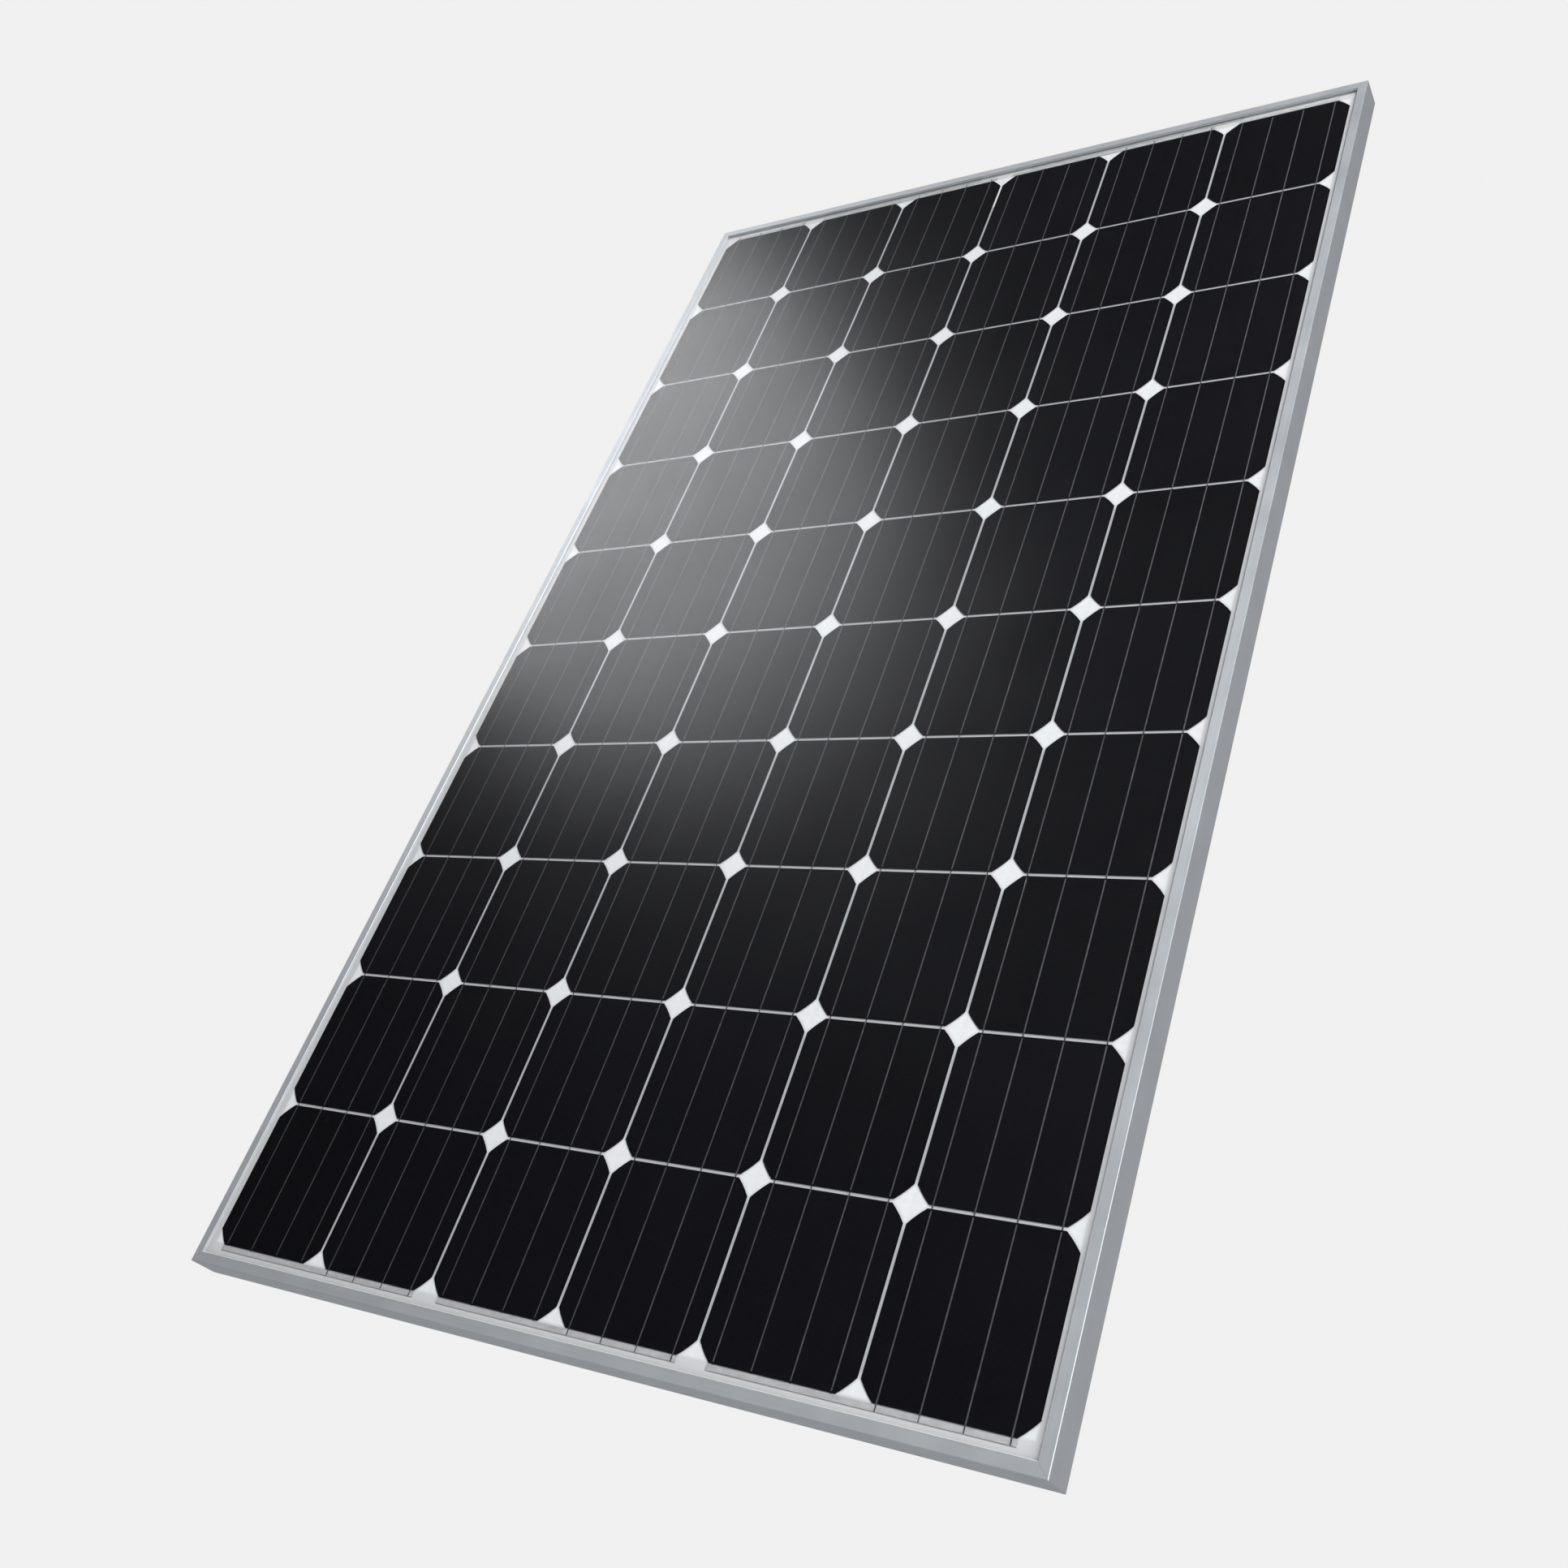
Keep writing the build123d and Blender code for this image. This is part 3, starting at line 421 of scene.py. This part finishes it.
DIODE = moulded("diode_epoxy", (0.012, 0.012, 0.012), (0.024, 0.024, 0.024), 2400.0, 0.26, 0.40)
BEAD = sealant()
GLASS = clear_laminate()
BONDED = bonded_face()
STEEL = sprung_steel()


def finish_with(material, *names):
    """Gives each named CAD node this one material."""
    for name in names:
        mesh = nodes[name].data
        mesh.materials.clear()
        mesh.materials.append(material)


def numbered(stem, count):
    """The names stem_1 to stem_count."""
    return [f"{stem}_{i}" for i in range(1, count + 1)]


finish_with(SILICON, *numbered("cell_string", 6))
finish_with(TAB, *numbered("tabbing_ribbons", 6))
finish_with(RIBBON, *[n for n in nodes if n.startswith(("bus_ribbon", "bus_lead"))])
finish_with(BRASS, *numbered("terminal", 4))
finish_with(FILM, "backsheet")
finish_with(LABEL, "rating_label")
finish_with(STRIP, "insulation_strip")
finish_with(METAL[ALONG_Z], "frame_rail_left", "frame_rail_right")
finish_with(METAL[ALONG_X], "frame_rail_top", "frame_rail_bottom")
finish_with(KEY_METAL, *[n for n in nodes if n.startswith("corner_key")])
finish_with(BOX_PLASTIC, "junction_box_base", "junction_box_lid")
finish_with(NUT_PLASTIC, "vent_plug", *[n for n in nodes if n.startswith(("gland_nut", "gland_clamp"))])
finish_with(RUBBER, "lid_gasket", "gland_seal_left", "gland_seal_right")
finish_with(DIODE, *numbered("bypass_diode", 3))
finish_with(BEAD, "frame_sealant", "box_adhesive")
finish_with(STEEL, "ribbon_clips", "lid_hinge_pins")


# ---------------------------------------------------------------- glazing

def mesh_object(name, build):
    """A new piece whose mesh is made by build(bm)."""
    mesh = bpy.data.meshes.new(name)
    bm = bmesh.new()
    build(bm)
    bmesh.ops.recalc_face_normals(bm, faces=bm.faces)
    bm.to_mesh(mesh)
    bm.free()
    piece = bpy.data.objects.new(name, mesh)
    scene.collection.objects.link(piece)
    return piece


def slab(low, high, arris):
    """A closed sheet in the XZ plane with arrised edges."""
    def build(bm):
        rings = []
        for y, inset in ((low.y, arris), (low.y + arris, 0.0), (high.y - arris, 0.0), (high.y, arris)):
            x0, x1, z0, z1 = low.x + inset, high.x - inset, low.z + inset, high.z - inset
            corners = ((x0, z0), (x1, z0), (x1, z1), (x0, z1))
            rings.append([bm.verts.new((x, y, z)) for x, z in corners])
        for lower, upper in zip(rings, rings[1:]):
            for i in range(4):
                j = (i + 1) % 4
                bm.faces.new((lower[i], lower[j], upper[j], upper[i]))
        bm.faces.new(list(reversed(rings[0])))
        bm.faces.new(rings[-1])
    return build


GLASS_ARRIS = 0.5 * MM
BOND_LINE = 0.02 * MM

glass_low, glass_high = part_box("front_glass")
rear_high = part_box("rear_encapsulant")[1]
glazing_high = Vector((glass_high.x, rear_high.y - BOND_LINE, glass_high.z))
glazing = mesh_object("glazing", slab(glass_low, glazing_high, GLASS_ARRIS))
glazing.data.materials.append(GLASS)
glazing.data.materials.append(BONDED)
for polygon in glazing.data.polygons:
    is_front = polygon.normal.y < -0.9
    polygon.material_index = 0 if is_front else 1
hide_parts("front_glass", "front_encapsulant", "rear_encapsulant")
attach(glazing, "panel")
# The pane casts no shadow, so that the cells and the film behind it get the lamps' light directly.
glazing.visible_shadow = False
glazing.visible_diffuse = False


# ---------------------------------------------------------------- beads of silicone

dice = random.Random(7)


def ring_path(half_x, half_z, centre_x, centre_z, step, corner):
    """Points and outward directions round a rectangle in the XZ plane, about step apart.

    Its corners are rounded to the radius corner, or mitred where that is 0.
    """
    points = []
    inner_x, inner_z = half_x - corner, half_z - corner
    corners = ((inner_x, inner_z, 0.0), (-inner_x, inner_z, 90.0), (-inner_x, -inner_z, 180.0),
               (inner_x, -inner_z, 270.0))
    for k, (cx, cz, start) in enumerate(corners):
        if corner > 0:
            turn = max(1, round(0.5 * math.pi * corner / step))
            angles = [start + 90.0 * i / turn for i in range(turn + 1)]
            reach = 1.0
        else:
            angles = [start + 45.0]
            reach = math.sqrt(2.0)
        for a in angles:
            out_x, out_z = math.cos(math.radians(a)), math.sin(math.radians(a))
            points.append((cx + corner * out_x, cz + corner * out_z, out_x * reach, out_z * reach))
        next_x, next_z, _ = corners[(k + 1) % 4]
        a = math.radians(start + 90.0)
        out_x, out_z = math.cos(a), math.sin(a)
        count = max(1, round((abs(next_x - cx) + abs(next_z - cz)) / step))
        for i in range(1, count):
            t = i / count
            x = cx + (next_x - cx) * t + corner * out_x
            z = cz + (next_z - cz) * t + corner * out_z
            points.append((x, z, out_x, out_z))
    return [(centre_x + x, centre_z + z, out_x, out_z) for x, z, out_x, out_z in points]


def profile(base, *corners):
    """A section's (outward, y) corners in metres, from millimetres outward and millimetres above base."""
    return [(out * MM, base + rise * MM) for out, rise in corners]


def bead(name, path, section, wobble, smooth=3, material=BEAD, body="panel"):
    """A closed bead of the given section round path.

    Its size about the section's first corner varies along the path by up to wobble, and the random steps are
    smoothed that many times.
    """
    rolls = [dice.uniform(-1.0, 1.0) for _ in path]
    for _ in range(smooth):
        after = rolls[1:] + rolls[:1]
        rolls = [(rolls[i - 1] + 2.0 * rolls[i] + after[i]) / 4.0 for i in range(len(rolls))]
    anchor_out, anchor_y = section[0]

    def build(bm):
        rings = []
        for (x, z, out_x, out_z), roll in zip(path, rolls):
            grow = 1.0 + wobble * roll
            ring = []
            for corner_out, corner_y in section:
                out = anchor_out + (corner_out - anchor_out) * grow
                y = anchor_y + (corner_y - anchor_y) * grow
                ring.append(bm.verts.new((x + out_x * out, y, z + out_z * out)))
            rings.append(ring)
        for near, far in zip(rings, rings[1:] + rings[:1]):
            for i in range(len(section)):
                j = (i + 1) % len(section)
                bm.faces.new((near[i], near[j], far[j], far[i]))

    piece = mesh_object(name, build)
    for polygon in piece.data.polygons:
        polygon.use_smooth = True
    piece.data.materials.append(material)
    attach(piece, body)


LIP_EDGE_X = 482.0 * MM
LIP_EDGE_Z = 806.0 * MM
lip_path = ring_path(LIP_EDGE_X, LIP_EDGE_Z, 0.0, 0.0, step=12.0 * MM, corner=0.0)
bead("lip_bead", lip_path,
     profile(glass_low.y, (0.5, 0.0), (0.5, -0.42), (0.1, -0.40), (-0.35, -0.24), (-0.8, -0.03),
             (-0.85, 0.0)),
     wobble=0.10)

film_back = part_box("backsheet")[1].y
bead("rear_bead", lip_path,
     profile(film_back, (-0.05, 0.0), (-0.05, 3.4), (-0.55, 2.2), (-1.3, 1.2), (-2.4, 0.5), (-3.6, 0.03)),
     wobble=0.22)

foot_low, foot_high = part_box("box_adhesive")
foot_middle = 0.5 * (foot_low + foot_high)
foot_half = 0.5 * (foot_high - foot_low)
foot_path = ring_path(foot_half.x, foot_half.z, foot_middle.x, foot_middle.z, step=3.0 * MM, corner=9.0 * MM)
bead("box_bead", foot_path,
     profile(film_back, (-0.3, 0.02), (2.3, 0.02), (1.9, 0.5), (1.1, 0.8), (0.2, 0.85), (-0.3, 0.8)),
     wobble=0.25)


# ---------------------------------------------------------------- moulded relief on the lid

LID_FACE = 12.2 * MM
LID_PLATE_TOP = 752.4 * MM

lid_low, lid_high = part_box("junction_box_lid")
lid_half_z = 0.5 * (LID_PLATE_TOP - lid_low.z)
lid_middle = 0.5 * (LID_PLATE_TOP + lid_low.z)
rib = profile(LID_FACE, (-0.8, -0.05), (0.8, -0.05), (0.55, 0.30), (0.25, 0.42), (-0.25, 0.42), (-0.55, 0.30))
for name, inset in (("lid_rim", 7.0 * MM), ("lid_inner_rim", 13.0 * MM)):
    rib_path = ring_path(lid_high.x - inset, lid_half_z - inset, 0.0, lid_middle,
                         step=3.0 * MM, corner=6.0 * MM)
    bead(name, rib_path, rib, wobble=0.0, smooth=0, material=BOX_PLASTIC, body="lid")


# ---------------------------------------------------------------- floor and light

FLOOR_Z = -1.30
FLOOR_RADIUS = 5.0
FADE_FROM = 1.6
FADE_TO = 3.4
SOFTBOX_TOWARD = Vector((-0.640, -0.522, 0.568)).normalized()
SOFTBOX_ANGLE = 17.0
SOFTBOX_ENERGY = 0.40


def floor_paint():
    """Matt pale floor, lifted a little by its own glow, which fades into the backdrop with distance."""
    s = Shader("floor_paint")
    tone = s.noise(s.place(), 0.6, 2.0)
    paint = s.blend(tone, (0.38, 0.38, 0.38), (0.40, 0.40, 0.40))
    painted = s.principled(Base_Color=paint, Roughness=0.9, Specular_IOR_Level=0.1,
                           Emission_Color=(1.0, 1.0, 1.0), Emission_Strength=0.42)
    distance = s.add("ShaderNodeVectorMath", operation="LENGTH", Vector=s.place())
    fade = s.ramp(distance.outputs["Value"], FADE_FROM, FADE_TO)
    nothing = s.add("ShaderNodeBsdfTransparent").outputs[0]
    # The glow isn't sampled as a lamp: only rays that happen to meet the floor find it.
    s.material.cycles.emission_sampling = "NONE"
    return s.done(s.blend_shaders(fade, painted, nothing))


def studio_world():
    """A plain backdrop for the camera. What lights the panel is dim, and brighter below and behind it."""
    world = bpy.data.worlds.new("studio")
    world.use_nodes = True
    w = Nodes(world.node_tree)
    direction = w.split(w.add("ShaderNodeTexCoord").outputs["Generated"])
    below = w.ramp(direction["Z"], -0.95, -0.2, to_low=0.30, to_high=0.026, interpolation="SMOOTHSTEP")
    behind = w.ramp(direction["Y"], -0.2, 0.6, to_low=0.0, to_high=0.26, interpolation="SMOOTHSTEP")
    lit = w.add("ShaderNodeBackground", Strength=w.math("ADD", below, behind)).outputs[0]
    seen = w.add("ShaderNodeBackground", Color=BACKDROP).outputs[0]
    is_camera = w.add("ShaderNodeLightPath").outputs["Is Camera Ray"]
    w.add("ShaderNodeOutputWorld", Surface=w.blend_shaders(is_camera, lit, seen))
    return world


def hang(data, place, aim):
    """Puts a light at place, shining along aim."""
    lamp = bpy.data.objects.new(data.name, data)
    lamp.location = place
    lamp.rotation_euler = aim.to_track_quat("-Z", "Y").to_euler()
    scene.collection.objects.link(lamp)


def area_light(name, place, target, size, power):
    """A square soft light of the given side, turned to target."""
    data = bpy.data.lights.new(name, "AREA")
    data.shape = "SQUARE"
    data.size = size
    data.energy = power
    hang(data, place, Vector(target) - Vector(place))


def softbox():
    """A wide far lamp, which the glass reflects as the photo's pale haze.

    It has no multiple importance sampling, because rare glossy rays that hit it would leave grain.
    """
    data = bpy.data.lights.new("softbox", "SUN")
    data.energy = SOFTBOX_ENERGY
    data.angle = math.radians(SOFTBOX_ANGLE)
    data.cycles.use_multiple_importance_sampling = False
    hang(data, (0.0, 0.0, 0.0), -SOFTBOX_TOWARD)


floor_mesh = bpy.data.meshes.new("floor")
bm = bmesh.new()
bmesh.ops.create_circle(bm, cap_ends=True, segments=96, radius=FLOOR_RADIUS)
bm.to_mesh(floor_mesh)
bm.free()
floor_mesh.materials.append(floor_paint())
floor = bpy.data.objects.new("floor", floor_mesh)
floor.location.z = FLOOR_Z
# Reflections leave the floor out, so that the glass and the metal don't mirror it.
floor.visible_glossy = False
scene.collection.objects.link(floor)

scene.world = studio_world()
softbox()
area_light("key", place=(2.5, -4.4, 2.6), target=(0.0, 0.0, 0.0), size=2.6, power=285.0)
area_light("low_fill", place=(2.6, -1.6, -0.4), target=(0.2, 0.0, 0.0), size=1.4, power=30.0)
area_light("rear", place=(-1.4, 2.6, 1.8), target=(0.0, 0.0, 0.2), size=2.8, power=78.0)
